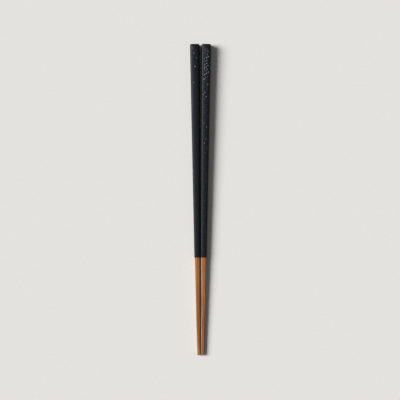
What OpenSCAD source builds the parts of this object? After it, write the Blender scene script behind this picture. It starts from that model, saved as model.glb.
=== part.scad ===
// A pair of lacquered chopsticks, lying side by side with their hand ends towards +Y.
// Each stick is one length of wood, planed square with a slow taper in the hand and a
// quicker one to the tip. Its four faces are a little crowned, its corners are taken off and
// its tip is domed. A thick coat of black lacquer covers the hand end, with fuller crowns and
// rounder corners than the wood, and stops in a small step. Its lower face is rubbed flat along
// the middle, where the stick rests. Thin flecks of shell are scattered along the upper face,
// closest together near the hand end.

/* [Wood] */
// Overall length, from the lacquered end to the tip
stick_len = 230; // [200:1:260]
// Width of the wood across its faces at the hand end
wood_hand_w = 6.6; // [5.8:0.05:7.6]
// Width of the wood across its faces where the lacquer stops
wood_mid_w = 3.95; // [3.2:0.05:4.8]
// Width of the wood across its faces at the tip
wood_tip_w = 2; // [1.4:0.05:2.6]
// Width across the corners at the hand end, as a multiple of the width across the faces there
hand_corner = 1.24; // [1.18:0.01:1.25]
// The same multiple where the lacquer stops
mid_corner = 1.24; // [1.16:0.01:1.28]
// The same multiple at the tip
tip_corner = 1.26; // [1.16:0.01:1.3]
// Radius of the crown on each face of the wood at the hand end
wood_crown = 16; // [12:0.5:20]
// Bevel round the hand end of the wood
wood_bevel = 0.4; // [0.2:0.1:0.8]
// Length of the dome that ends the tip
tip_dome = 1.1; // [0.5:0.1:1.5]

/* [Lacquer] */
// Length of stick that the lacquer covers
lacquer_len = 157.5; // [120:0.5:180]
// Thickness of the lacquer over the middle of each face
lacquer_t = 0.3; // [0.2:0.05:0.5]
// Thickness of the lacquer over the corners, where it drew thin
corner_t = 0.16; // [0.14:0.02:0.3]
// Depth of the flat rubbed along the lower face of the lacquer
rest_depth = 0.04; // [0.02:0.01:0.1]
// Bevel on the edge of the lacquer
lip_bevel = 0.1; // [0.04:0.02:0.12]
// Radius of the crown on each face of the lacquer at the hand end
coat_crown = 9; // [8.5:0.5:11]

/* [Flecks] */
// Length of a fleck at the hand end
fleck_len = 0.85; // [0.5:0.05:1.1]
// Width of a fleck at its middle
fleck_w = 0.42; // [0.3:0.02:0.54]
// Height that a fleck stands above the lacquer
fleck_t = 0.1; // [0.05:0.01:0.2]
// Distance from the hand end to the first fleck
fleck_start = 3; // [2:0.5:6]
// Number of flecks on the left stick
left_count = 6; // [2:1:12]
// Share of the left stick's lacquer that its flecks reach along
left_share = 0.18; // [0.1:0.02:0.4]
// Number of flecks on the right stick
right_count = 66; // [20:1:70]
// Share of the right stick's lacquer that its flecks reach along
right_share = 0.96; // [0.6:0.02:0.96]
// Share of that reach filled at even steps, before the steps open out towards the far end
even_share = 0.35; // [0.25:0.05:0.6]

/* [Pair] */
// Gap between the two sticks where the lacquer stops
pair_gap = 0.1; // [0.1:0.05:0.8]
// Gap between the two hand ends
hand_gap = 1.3; // [0.6:0.1:2.4]

/* [Hidden] */
LEFT = -1;
RIGHT = 1;
$fn = 96;
crown_facets = 360;

wood_colour = "#b5804f";
lacquer_colour = "#1c1e22";
fleck_colour = "#9a9ea6";

// A bevel at 45 degrees on the lacquer that keeps the coat's thickness over the wood's bevel
lacquer_bevel = wood_bevel + lacquer_t * (2 - sqrt(2));
// Distances from the stick's axis back to the axes that the crowns of the faces turn about
wood_set_back = wood_crown - half_width(0, 0);
coat_set_back = coat_crown - half_width(0, lacquer_t);
// Slope of each face towards the stick's axis
face_slope = atan((wood_hand_w - wood_mid_w) / 2 / lacquer_len);
// Turn of each stick in plan, which brings the tips together
yaw = asin((half_width(0, lacquer_t) + hand_gap / 2 - half_width(lacquer_len, lacquer_t) - pair_gap / 2)
    / lacquer_len);
// Stations along the wood, as distances from the hand end and insets there
wood_hand_stations = [[lacquer_t, wood_bevel], [lacquer_t + wood_bevel, 0], [lacquer_len, 0]];
wood_stations = concat(wood_hand_stations, [[stick_len, 0]]);
// Stations along the lacquer
coat_stations = [
    [0, lacquer_bevel], [lacquer_bevel, 0], [lacquer_len - lip_bevel, 0], [lacquer_len, lip_bevel],
];
// Outline of each face of the lacquer
coat_faces = face_points(coat_stations, lacquer_t, coat_set_back);
// Side of the block that clears the flat on the lower face, larger than any section
clear = 20;
// Degrees between the facets that draw the tip's dome, and degrees round it to its small flat end
dome_step = 15;
dome_end = 75;
// Power by which the steps between flecks open out
opening = 4;
// Share of a face's half-width that the flecks spread over
fleck_spread = 0.5;
// Share of a fleck's length between its shoulders
fleck_shoulder = 0.4;
// Irrational steps that scatter the flecks without repeating
golden = (sqrt(5) - 1) / 2;
silver = sqrt(2) - 1;

// A width at distance s from the hand end, on straight lines from its value at the hand end to
// that at the lacquer's edge, and from there to that at the tip
function tapered(s, hand, mid, tip) = s < lacquer_len
    ? hand + (mid - hand) * s / lacquer_len
    : mid + (tip - mid) * (s - lacquer_len) / (stick_len - lacquer_len);
// Half the width across the faces at distance s, with a skin of the given thickness
function half_width(s, skin) = skin + tapered(s, wood_hand_w, wood_mid_w, wood_tip_w) / 2;
// Radii of the corners at distance s, of the wood and of the lacquer
function wood_radius(s) =
    tapered(s, hand_corner * wood_hand_w, mid_corner * wood_mid_w, tip_corner * wood_tip_w) / 2;
function coat_radius(s) = wood_radius(s) + corner_t;
// A fraction from 0 to 1 that scatters evenly as i counts up
function scatter(i, step) = i * step - floor(i * step);
// Points of a face's outline through stations, at distances from its crown's axis
function face_points(stations, skin, set_back) =
    [for (p = stations) [set_back + half_width(p[0], skin) - p[1], p[0]]];
// An outline closed along the axis that it turns about
function closed(points) = concat([[0, points[0].y]], points, [[0, points[len(points) - 1].y]]);
// Distance from the hand end to a fleck that is a fraction f of the way through the count
function fleck_place(f, share) =
    fleck_start + (share * lacquer_len - fleck_start) * (even_share * f + (1 - even_share) * f ^ opening);

// Turns a face's outline about its crown's axis, with the face a number of quarter turns from
// +X: 0 and 2 are the sides of a stick, 1 is its upper face and 3 its lower one
module crowned(quarters, set_back, points) {
    rotate([0, 0, 90 * quarters])
        translate([-set_back, 0, 0])
            rotate([0, 0, 180]) rotate_extrude($fn = crown_facets) polygon(closed(points));
}

// A bar along +Z with four crowned faces and turned corners
module planed(set_back, faces, corners) {
    intersection() {
        crowned(0, set_back, faces);
        crowned(1, set_back, faces);
        crowned(2, set_back, faces);
        crowned(3, set_back, faces);
        rotate_extrude() polygon(closed(corners));
    }
}

// The bare wooden stick, from under the lacquer at the hand end to the tip
module stick() {
    shoulder = stick_len - tip_dome;
    end_r = wood_radius(shoulder);
    dome = [
        for (a = [0:dome_step:dome_end]) [end_r * cos(a), shoulder + tip_dome * sin(a) / sin(dome_end)]
    ];
    corners = concat([for (p = wood_hand_stations) [wood_radius(p[0]) - p[1], p[0]]], dome);
    color(wood_colour) planed(wood_set_back, face_points(wood_stations, 0, wood_set_back), corners);
}

// The coat of lacquer, closed over the hand end and open where the wood comes out
module lacquer() {
    corners = [for (p = coat_stations) [coat_radius(p[0]) - p[1], p[0]]];
    color(lacquer_colour) difference() {
        planed(coat_set_back, coat_faces, corners);
        stick();
        translate([0, rest_depth - half_width(0, lacquer_t), 0])
            rotate([-face_slope, 0, 0])
                translate([-clear / 2, -clear, -clear]) cube([clear, clear, stick_len + clear]);
    }
}

// One six-sided fleck, standing above the XY plane and sunk as far below it
module fleck() {
    shoulder = fleck_len * fleck_shoulder / 2;
    outline = [
        [0, -fleck_len / 2], [fleck_w / 2, -shoulder], [fleck_w / 2, shoulder],
        [0, fleck_len / 2], [-fleck_w / 2, shoulder], [-fleck_w / 2, -shoulder],
    ];
    translate([0, 0, -fleck_t]) linear_extrude(2 * fleck_t) polygon(outline);
}

// Flecks scattered along the upper face, smaller where it is narrower, shaped to it underneath
module flecks(count, share) {
    color(fleck_colour) difference() {
        for (i = [0:count - 1]) {
            s = fleck_place(i / (count - 1), share);
            half = half_width(s, lacquer_t);
            across = fleck_spread * half * (2 * scatter(i, golden) - 1);
            translate([0, -coat_set_back, 0])
                rotate([0, 0, -asin(across / (coat_set_back + half))])
                    translate([0, coat_set_back + half, s])
                        rotate([face_slope - 90, 0, 0])
                            rotate([0, 0, 180 * scatter(i, silver)])
                                scale(half / half_width(0, lacquer_t)) fleck();
        }
        crowned(1, coat_set_back, coat_faces);
    }
}

// Lays a stick that was built along +Z down on its flat, on the given side of the pair
module laid(side) {
    hand_half = half_width(0, lacquer_t);
    rest_height = (hand_half - rest_depth) * cos(face_slope);
    translate([side * (hand_half + hand_gap / 2), stick_len / 2, rest_height])
        rotate([0, 0, -side * yaw])
            rotate([90 + face_slope, 0, 0]) children();
}

laid(LEFT) stick();  // left_stick
laid(LEFT) lacquer();  // left_lacquer
laid(LEFT) flecks(left_count, left_share);  // left_flecks
laid(RIGHT) stick();  // right_stick
laid(RIGHT) lacquer();  // right_lacquer
laid(RIGHT) flecks(right_count, right_share);  // right_flecks
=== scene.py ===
"""A pair of lacquered chopsticks lying side by side, seen from straight above."""
import math

import bmesh
import bpy
from mathutils import Matrix, Vector


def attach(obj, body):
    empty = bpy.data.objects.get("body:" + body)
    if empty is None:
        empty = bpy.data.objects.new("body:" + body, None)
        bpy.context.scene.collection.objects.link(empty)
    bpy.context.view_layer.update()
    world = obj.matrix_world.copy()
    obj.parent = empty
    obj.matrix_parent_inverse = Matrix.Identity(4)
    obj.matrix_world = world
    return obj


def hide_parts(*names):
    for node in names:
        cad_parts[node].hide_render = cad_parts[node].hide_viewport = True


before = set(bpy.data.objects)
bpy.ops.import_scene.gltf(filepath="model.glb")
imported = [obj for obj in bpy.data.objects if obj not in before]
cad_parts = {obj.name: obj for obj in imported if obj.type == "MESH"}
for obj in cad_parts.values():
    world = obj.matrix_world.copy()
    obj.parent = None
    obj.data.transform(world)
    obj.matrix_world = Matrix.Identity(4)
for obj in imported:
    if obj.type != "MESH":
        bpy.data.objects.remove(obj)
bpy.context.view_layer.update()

# The wooden sticks: each is one length of warm brown hardwood, planed to four faces on a slow
# taper in the hand and a quicker one to the tip, with the corners taken off and a domed tip.
# They lie loose on their lower faces, toed in a little so that the tips come together.
STICK_LENGTH = 0.230
LACQUER_LENGTH = 0.1575
LACQUER_THICKNESS = 0.0003
# Widths across the faces and across the corners, at the hand end, the lacquer's edge and the tip
WOOD_WIDTHS = (0.0066, 0.00395, 0.0020)
CORNER_WIDTHS = (0.008184, 0.004898, 0.00252)
WOOD_CROWN = 0.016
WOOD_SET_BACK = WOOD_CROWN - WOOD_WIDTHS[0] / 2
WOOD_SOFTNESS = 0.06
WOOD_BEVEL = 0.0004
TIP_DOME = 0.0011
DOME_END = math.radians(75)
DOME_STEPS = 10
HAND_GAP = 0.0013
PAIR_GAP = 0.0001
REST_DEPTH = 0.00004
SIDES = {"left": -1, "right": 1}
RING_POINTS = 128
CORNER_CROWDING = 0.18
RING_SPACING = 0.006
SHARP_ANGLE = math.radians(32)


def half_across(s, widths):
    """Half of a width at distance s from the hand end, tapering from hand to middle to tip."""
    hand, middle, tip = widths
    if s < LACQUER_LENGTH:
        return (hand + (middle - hand) * s / LACQUER_LENGTH) / 2
    return (middle + (tip - middle) * (s - LACQUER_LENGTH) / (STICK_LENGTH - LACQUER_LENGTH)) / 2


def wood_station(s, inset=0):
    """The wood's section at s: half-width, corner radius, set-back of its crowns, softness."""
    face = half_across(s, WOOD_WIDTHS) - inset
    corner = half_across(s, CORNER_WIDTHS) - inset
    return s, face, corner, WOOD_SET_BACK, WOOD_SOFTNESS


def section_reach(angle, half, corner, set_back, softness):
    """Distance from the axis to a crowned face or the round corner, blended where they meet."""
    turn = abs((angle + math.pi / 4) % (math.pi / 2) - math.pi / 4)
    crown = half + set_back
    face = math.sqrt(crown**2 - (set_back * math.sin(turn)) ** 2) - set_back * math.cos(turn)
    blend = softness * half
    overlap = max(blend - abs(face - corner), 0) / blend
    return min(face, corner) - overlap**2 * blend / 4


def shape_ring(ring, station):
    """Moves a ring of vertices onto the section at a station, keeping each one's direction."""
    s, *section = station
    for vert in ring:
        angle = math.atan2(vert.co.y, vert.co.x)
        reach = section_reach(angle, *section)
        vert.co = (reach * math.cos(angle), reach * math.sin(angle), s)


def loft(stations):
    """Extrudes one ring, crowded towards its corners, through stations and closes both ends."""
    bm = bmesh.new()
    ring = bmesh.ops.create_circle(bm, segments=RING_POINTS, radius=1)["verts"]
    for vert in ring:
        angle = math.atan2(vert.co.y, vert.co.x)
        vert.co.xy = Matrix.Rotation(CORNER_CROWDING * math.sin(4 * angle), 2) @ vert.co.xy
    shape_ring(ring, stations[0])
    edges = bm.edges[:]
    bmesh.ops.edgeloop_fill(bm, edges=edges)
    for station in stations[1:]:
        made = bmesh.ops.extrude_edge_only(bm, edges=edges)["geom"]
        ring = [item for item in made if isinstance(item, bmesh.types.BMVert)]
        edges = [
            item
            for item in made
            if isinstance(item, bmesh.types.BMEdge) and all(v in ring for v in item.verts)
        ]
        shape_ring(ring, station)
    bmesh.ops.edgeloop_fill(bm, edges=edges)
    bmesh.ops.recalc_face_normals(bm, faces=bm.faces)
    return bm


def stations_between(start, end, station_at):
    """Stations at an even spacing along the stick's plain taper, both ends included."""
    count = math.ceil(abs(end - start) / RING_SPACING)
    places = [start + (end - start) * i / count for i in range(count + 1)]
    return [station_at(s) for s in places]


def lay_down(bm, side):
    """Turns a stick built along +Z onto its lower flat, on its own side of the pair."""
    hand = half_across(0, WOOD_WIDTHS) + LACQUER_THICKNESS
    middle = half_across(LACQUER_LENGTH, WOOD_WIDTHS) + LACQUER_THICKNESS
    slope = math.atan((hand - middle) / LACQUER_LENGTH)
    toe_in = math.asin((hand + HAND_GAP / 2 - middle - PAIR_GAP / 2) / LACQUER_LENGTH)
    height = (hand - REST_DEPTH) * math.cos(slope)
    place = Matrix.Translation((side * (hand + HAND_GAP / 2), STICK_LENGTH / 2, height))
    turn = Matrix.Rotation(-side * toe_in, 4, "Z") @ Matrix.Rotation(math.pi / 2 + slope, 4, "X")
    bmesh.ops.transform(bm, matrix=place @ turn, verts=bm.verts)


def add_piece(name, bm, material):
    """Puts a finished mesh into the scene as a smooth piece that rides on the one body."""
    mesh = bpy.data.meshes.new(name)
    bm.to_mesh(mesh)
    bm.free()
    mesh.materials.append(material)
    mesh.polygons.foreach_set("use_smooth", [True] * len(mesh.polygons))
    mesh.set_sharp_from_angle(angle=SHARP_ANGLE)
    piece = bpy.data.objects.new(name, mesh)
    bpy.context.scene.collection.objects.link(piece)
    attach(piece, "root")
    return piece


class Field:
    """A shader socket, so that maths on a pattern is written as a Python expression."""

    def __init__(self, tree, socket):
        self.tree = tree
        self.socket = socket

    def node(self, kind, sockets, output=0, **settings):
        """Adds any node: its settings first, then the values or links of its sockets."""
        made = self.tree.nodes.new(kind)
        for name, value in settings.items():
            setattr(made, name, value)
        for name, value in sockets.items():
            if isinstance(value, Field):
                self.tree.links.new(value.socket, made.inputs[name])
            else:
                made.inputs[name].default_value = value
        return Field(self.tree, made.outputs[output])

    def maths(self, operation, first, second):
        return self.node("ShaderNodeMath", {0: first, 1: second}, operation=operation)

    def __add__(self, other):
        return self.maths("ADD", self, other)

    def __radd__(self, other):
        return self.maths("ADD", other, self)

    def __sub__(self, other):
        return self.maths("SUBTRACT", self, other)

    def __mul__(self, other):
        return self.maths("MULTIPLY", self, other)

    def __rmul__(self, other):
        return self.maths("MULTIPLY", other, self)

    def axis(self, letter):
        """One coordinate of this place: X across the pair, Y along it, Z up."""
        return self.node("ShaderNodeSeparateXYZ", {"Vector": self}, letter)

    def between(self, low, high):
        """This value as a soft mask that goes from 0 at low to 1 at high."""
        sockets = {"Value": self, "From Min": low, "From Max": high}
        return self.node("ShaderNodeMapRange", sockets, interpolation_type="SMOOTHSTEP")

    def noise(self, width, length, detail, shift=(0, 0, 0)):
        """Noise with features about as wide across the pair and as long along it as given."""
        sockets = {"Vector": self, "Scale": (1 / width, 1 / length, 1 / width), "Location": shift}
        spread = self.node("ShaderNodeMapping", sockets)
        return self.node("ShaderNodeTexNoise", {"Vector": spread, "Scale": 1.0, "Detail": detail})

    def mix(self, low, high):
        """The colour between low and high that this mask picks."""
        return self.node("ShaderNodeMix", {0: self, 6: low, 7: high}, 2, data_type="RGBA")

    def bump(self, distance, strength):
        """A normal that treats this value as a height in steps of the given distance."""
        sockets = {"Height": self, "Distance": distance, "Strength": strength}
        return self.node("ShaderNodeBump", sockets)

    def feed(self, shader, socket):
        self.tree.links.new(self.socket, shader.inputs[socket])


def new_finish(name):
    """A material with its shader, and the place on the object as a field."""
    material = bpy.data.materials.new(name)
    material.use_nodes = True
    tree = material.node_tree
    shader = tree.nodes["Principled BSDF"]
    place = tree.nodes.new("ShaderNodeTexCoord").outputs["Object"]
    return material, shader, Field(tree, place)


def paint(red, green, blue):
    """A colour read off as screen values from 0 to 255, as the shader's linear values."""
    linear = []
    for level in (red, green, blue):
        share = level / 255
        linear.append(share / 12.92 if share <= 0.04045 else ((share + 0.055) / 1.055) ** 2.4)
    return (*linear, 1)


STREAK_SHIFT = (11.9, 0, 0)
PORE_SHARE = 0.5
TIP_TONE_SHARE = 0.25
TIP_TONE_START = -0.102
TIP_TONE_END = -STICK_LENGTH / 2
PAIR_MIDDLE = 0.0004
oiled_wood, shader, place = new_finish("oiled_wood")
streaks = place.noise(width=0.0009, length=0.036, detail=2.0, shift=STREAK_SHIFT)
drift = place.noise(width=0.0018, length=0.045, detail=1.0).between(0.38, 0.62)
lines = place.noise(width=0.00018, length=0.0162, detail=3.0)
pores = place.noise(width=0.00016, length=0.00224, detail=1.0).between(0.62, 0.72)
# Over the last 13 mm towards each tip the colour shifts up to a quarter of the way: paler on the
# left stick, darker on the right
toward_tips = place.axis("Y").between(TIP_TONE_START, TIP_TONE_END)
right = place.axis("X").between(-PAIR_MIDDLE, PAIR_MIDDLE)
rosy = 0.6 * right + 0.4 * drift
dark_wood = rosy.mix(paint(142, 84, 30), paint(148, 92, 54))
pale_wood = rosy.mix(paint(178, 116, 54), paint(190, 136, 96))
ground = streaks.between(0.36, 0.64).mix(dark_wood, pale_wood)
lined = lines.between(0.42, 0.75).mix(ground, paint(118, 68, 32))
pored = (pores * PORE_SHARE).mix(lined, paint(92, 54, 29))
tips = right.mix(paint(206, 158, 116), paint(108, 62, 30))
(toward_tips * TIP_TONE_SHARE).mix(pored, tips).feed(shader, "Base Color")
(0.34 + 0.16 * lines).feed(shader, "Roughness")
(lines - 0.7 * pores).bump(distance=0.00002, strength=0.35).feed(shader, "Normal")
shader.inputs["Specular IOR Level"].default_value = 0.45

shoulder = STICK_LENGTH - TIP_DOME
for side_name, side in SIDES.items():
    hand_end = LACQUER_THICKNESS
    stations = [wood_station(hand_end, WOOD_BEVEL)]
    stations += stations_between(hand_end + WOOD_BEVEL, LACQUER_LENGTH, wood_station)
    stations += stations_between(LACQUER_LENGTH, shoulder, wood_station)[1:]
    for step in range(1, DOME_STEPS + 1):
        turn = DOME_END * step / DOME_STEPS
        s = shoulder + TIP_DOME * math.sin(turn) / math.sin(DOME_END)
        end_half = half_across(shoulder, WOOD_WIDTHS) * math.cos(turn)
        end_radius = half_across(shoulder, CORNER_WIDTHS) * math.cos(turn)
        stations.append((s, end_half, end_radius, WOOD_SET_BACK, WOOD_SOFTNESS))
    wood = loft(stations)
    lay_down(wood, side)
    piece = add_piece(side_name + "_wood", wood, oiled_wood)
    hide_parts(side_name + "_stick")

# The lacquer: many thin coats brushed over the hand end of each stick and rubbed down to a
# satin black. It closes over the end, rounds the corners where it drew thin, and stops in a lip.
# Fine shell dust was shaken onto the upper face of the right one near its hand end.
CORNER_THICKNESS = 0.00016
COAT_CROWN = 0.009
COAT_SET_BACK = COAT_CROWN - WOOD_WIDTHS[0] / 2 - LACQUER_THICKNESS
COAT_SOFTNESS = 0.06
LIP_BEVEL = 0.0001
LIP_SOFTNESS = 0.00004
END_BEVEL = WOOD_BEVEL + LACQUER_THICKNESS * (2 - math.sqrt(2))
END_SOFTNESS = 0.00018
SOFT_STEPS = 3
CREASE_ANGLE = math.radians(25)
# Fall of the upper face along the pair, and height of its middle line half-way along
TOP_FALL = (WOOD_WIDTHS[0] - WOOD_WIDTHS[1]) / LACQUER_LENGTH
TOP_HEIGHT = WOOD_WIDTHS[0] + 2 * LACQUER_THICKNESS - REST_DEPTH - TOP_FALL * STICK_LENGTH / 2
# Where the dust starts and where it is full: down the crown, across the pair and along it
DUST_DEPTHS = (0.000175, 0.000055)
DUST_SIDE = (0, 0.001)
DUST_HAND_END = (0.113, 0.110)
DUST_FAR_END = (0.072, 0.090)
DUST_SPACING = 0.0008


def coat_station(s, inset=0):
    """The lacquer's section at s, in the same terms as the wood's."""
    face = half_across(s, WOOD_WIDTHS) + LACQUER_THICKNESS - inset
    corner = half_across(s, CORNER_WIDTHS) + CORNER_THICKNESS - inset
    return s, face, corner, COAT_SET_BACK, COAT_SOFTNESS


black_lacquer, shader, place = new_finish("black_lacquer")
brushing = place.noise(width=0.0006, length=0.036, detail=2.0)
clouds = place.noise(width=0.004, length=0.016, detail=2.0).between(0.3, 0.7)
peel = place.noise(width=0.0009, length=0.00144, detail=1.0)
along = place.axis("Y")
depth = TOP_HEIGHT + TOP_FALL * along - place.axis("Z")
upper_right = depth.between(*DUST_DEPTHS) * place.axis("X").between(*DUST_SIDE)
reach = along.between(*DUST_HAND_END) * along.between(*DUST_FAR_END)
cells = {"Vector": place, "Scale": 1 / DUST_SPACING}
specks = place.node("ShaderNodeTexVoronoi", cells, "Distance").between(0.36, 0.26)
bright = place.node("ShaderNodeTexVoronoi", cells, "Color").between(0.45, 0.70)
dust = upper_right * reach * specks * bright
blacks = clouds.mix(paint(9, 10, 13), paint(13, 14, 17))
dust.mix(blacks, paint(100, 102, 126)).feed(shader, "Base Color")
(0.56 + 0.14 * brushing).feed(shader, "Roughness")
(peel + 0.25 * brushing).bump(distance=0.00003, strength=0.12).feed(shader, "Normal")
shader.inputs["Specular IOR Level"].default_value = 0.30
shader.inputs["Specular Tint"].default_value = (0.80, 0.92, 1.0, 1)
shader.inputs["Coat Weight"].default_value = 0.06
shader.inputs["Coat Roughness"].default_value = 0.24

for side_name, side in SIDES.items():
    edge = LACQUER_LENGTH
    inner = [wood_station(LACQUER_THICKNESS, WOOD_BEVEL)]
    inner += stations_between(LACQUER_THICKNESS + WOOD_BEVEL, edge, wood_station)
    lip = [coat_station(edge, LIP_BEVEL)]
    outer = stations_between(edge - LIP_BEVEL, END_BEVEL, coat_station)
    end = [coat_station(0, END_BEVEL)]
    coat = loft(inner + lip + outer + end)
    creases = [e for e in coat.edges if e.calc_face_angle(0) > CREASE_ANGLE]
    for at_end, softness in ((True, END_SOFTNESS), (False, LIP_SOFTNESS)):
        rims = [e for e in creases if e.is_valid and (e.verts[0].co.z < edge / 2) == at_end]
        bmesh.ops.bevel(
            coat, geom=rims, offset=softness, segments=SOFT_STEPS,
            profile=0.5, affect="EDGES", material=-1,
        )
    lay_down(coat, side)
    # The lower face is rubbed flat where the stick rests
    for vert in coat.verts:
        vert.co.z = max(vert.co.z, 0)
    piece = add_piece(side_name + "_coat", coat, black_lacquer)
    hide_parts(side_name + "_lacquer")

# The flecks: thin six-sided chips of pearl shell, pressed onto the upper faces while the lacquer
# was soft and rubbed down with it, closest together near the hand ends.
TONE_SIZE = 0.0008
TONE_SHIFT = (33.3, 0, 0)
TINT_SIZE = 0.0023
TINT_SHARE = 0.25
GRAIN_SIZE = 0.00012
# Where the band of painted glints starts and is full, along the pair, and where all flecks fade
# to a dull grey without them
GLINT_BAND_HAND_END = (0.112, 0.102)
GLINT_BAND_FAR_END = (0.066, 0.086)
DIM_REACH = (0.090, 0.0)
pearl_shell, shader, place = new_finish("pearl_shell")
along = place.axis("Y")
# Painted glints: near the hand end more flecks are painted bright, as sparkle
glint_band = along.between(*GLINT_BAND_HAND_END) * along.between(*GLINT_BAND_FAR_END)
tone = place.noise(width=TONE_SIZE, length=TONE_SIZE, detail=1.0, shift=TONE_SHIFT) + 0.06 * glint_band
tint = place.noise(width=TINT_SIZE, length=TINT_SIZE, detail=1.0).between(0.4, 0.6)
grain = place.noise(width=GRAIN_SIZE, length=GRAIN_SIZE, detail=2.0)
# Towards the lip the painted glints fade and every fleck turns a dull grey
dim_toward_lip = along.between(*DIM_REACH)
# Each chip's colour runs at random from near black to near white: pale shell, with its glints
# painted in as colour
shell_and_glints = tone.between(0.54, 0.62).mix(paint(38, 40, 50), paint(225, 225, 230))
tinted = (tint * TINT_SHARE).mix(shell_and_glints, paint(120, 122, 170))
dim_toward_lip.mix(tinted, paint(88, 90, 100)).feed(shader, "Base Color")
(0.25 + 0.2 * grain).feed(shader, "Roughness")
grain.bump(distance=0.00001, strength=0.2).feed(shader, "Normal")
for side_name in SIDES:
    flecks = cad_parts[side_name + "_flecks"]
    flecks.data.materials.clear()
    flecks.data.materials.append(pearl_shell)

# The table: a plain pale sheet of paper that the pair lies on, wide enough to fill every view.
# It isn't part of the object.
FLOOR_SIZE = 30.0
FIBRE_SIZE = 0.002
pale_paper, shader, place = new_finish("pale_paper")
fibre = place.noise(width=FIBRE_SIZE, length=FIBRE_SIZE, detail=3.0)
fibre.mix(paint(226, 224, 220), paint(232, 230, 226)).feed(shader, "Base Color")
shader.inputs["Roughness"].default_value = 0.9
shader.inputs["Specular IOR Level"].default_value = 0.1
sheet = bmesh.new()
bmesh.ops.create_grid(sheet, x_segments=1, y_segments=1, size=FLOOR_SIZE / 2)
floor_mesh = bpy.data.meshes.new("floor")
sheet.to_mesh(floor_mesh)
sheet.free()
floor_mesh.materials.append(pale_paper)
floor = bpy.data.objects.new("floor", floor_mesh)
bpy.context.scene.collection.objects.link(floor)

# The light: one large soft window, far off to the left and a little towards the hand ends,
# with an even grey room that fills the shadows and looks as pale as the table from low views.
WINDOW_TOWARDS = (-0.784, 0.152, 0.601)
WINDOW_SPREAD = math.radians(34)
WINDOW_LEVEL = 4.5
ROOM_LIGHT = (0.13, 0.13, 0.13, 1)
window_data = bpy.data.lights.new("window", "SUN")
window_data.angle = WINDOW_SPREAD
window_data.energy = WINDOW_LEVEL
window = bpy.data.objects.new("window", window_data)
window.rotation_euler = Vector(WINDOW_TOWARDS).to_track_quat("Z", "Y").to_euler()
bpy.context.scene.collection.objects.link(window)
room = bpy.data.worlds.new("room")
room.use_nodes = True
room_nodes = room.node_tree.nodes
light_path = room_nodes.new("ShaderNodeLightPath")
seen = Field(room.node_tree, light_path.outputs["Is Camera Ray"])
seen.mix(ROOM_LIGHT, paint(226, 224, 220)).feed(room_nodes["Background"], "Color")
bpy.context.scene.world = room

# The camera: straight above the middle of the pair, with the hand ends to the top of the picture.
LENS = 100.0
SENSOR = 36.0
PICTURE_WIDTH = 0.2957
MIDDLE_HEIGHT = 0.003
MIDDLE_OFFSET = -0.0004
camera_data = bpy.data.cameras.new("camera")
camera_data.lens = LENS
camera_data.sensor_width = SENSOR
camera = bpy.data.objects.new("camera", camera_data)
camera.location = (MIDDLE_OFFSET, 0, PICTURE_WIDTH * LENS / SENSOR + MIDDLE_HEIGHT)
bpy.context.scene.collection.objects.link(camera)
bpy.context.scene.camera = camera
bpy.context.scene.view_settings.view_transform = "Standard"
